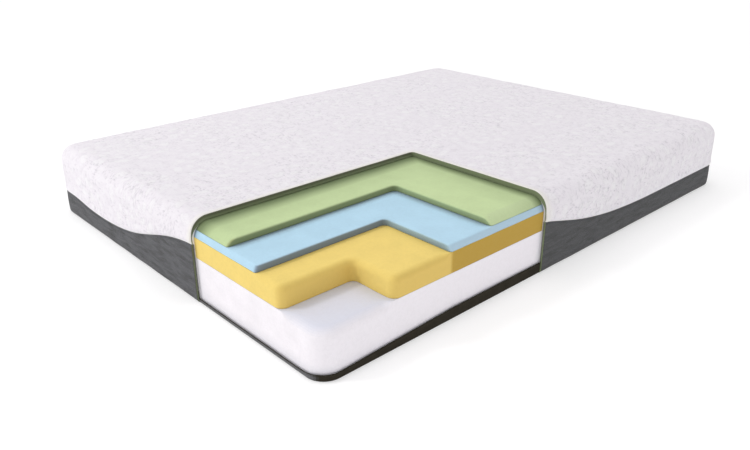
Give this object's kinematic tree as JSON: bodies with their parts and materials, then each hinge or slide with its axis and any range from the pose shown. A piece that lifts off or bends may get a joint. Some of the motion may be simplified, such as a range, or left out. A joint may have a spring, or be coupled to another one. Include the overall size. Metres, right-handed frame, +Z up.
{
  "type": "foam mattress",
  "caption": "King size foam mattress with one corner cut back in steps to show its foam layers, quilted knit cover, dark border and zip.",
  "frame": {"origin": "middle of the bottom face, on the surface the mattress lies on", "axes": "+X across the width towards the cut side, +Y along the length towards the head end, +Z up"},
  "size_m": [1.5, 2.0032, 0.25],
  "materials": {
    "support_foam": "open-cell polyurethane foam, fine cells, cut faces",
    "transition_foam": "pale yellow foam, fine cells, cut faces",
    "cooling_foam": "pale blue gel foam, fine cells, cut faces",
    "comfort_foam": "pale green memory foam, fine cells, cut faces",
    "sock_cloth": "thin white stretch jersey",
    "top_knit": "white stretch knit with a woven-in leaf pattern",
    "wadding": "white polyester wadding",
    "backing_cloth": "white non-woven backing",
    "border_cloth": "dark grey woven border cloth",
    "base_cloth": "near-black anti-slip base cloth",
    "binding_tape": "dark olive woven binding tape",
    "zip_tape": "grey herringbone zip tape",
    "zip_coil": "nylon coil teeth",
    "zip_metal": "grey lacquered zinc"
  },
  "bodies": {
    "mattress": {"foam_support_base": "support_foam", "foam_transition_layer": "transition_foam", "foam_cooling_layer": "cooling_foam", "foam_comfort_layer": "comfort_foam", "core_sock": "sock_cloth", "top_knit_face": "top_knit", "top_quilt_wadding": "wadding", "top_quilt_backing": "backing_cloth", "border_foot_end": "border_cloth", "border_right_side": "border_cloth", "border_left_side": "border_cloth", "border_head_end": "border_cloth", "base_panel": "base_cloth", "zip_tape_upper": "zip_tape", "zip_tape_lower": "zip_tape", "zip_coil_upper": "zip_coil", "zip_coil_lower": "zip_coil", "zip_stop_closed_end": "zip_metal", "zip_stop_open_end": "zip_metal", "cutaway_edge_binding": "binding_tape"},
    "zip_slider": {"zip_slider": "zip_metal"},
    "zip_pull": {"zip_pull": "zip_metal"}
  },
  "joints": [
    {"name": "zip_slide", "type": "slide", "parent": "mattress", "child": "zip_slider", "axis": [-1, 0, 0], "range_m": [0, 1.3]},
    {"name": "pull_swing", "type": "hinge", "parent": "zip_slider", "child": "zip_pull", "pos_m": [0.65, 1.0011, 0.0479], "axis": [1, 0, 0], "range_deg": [0, 175]}
  ]
}
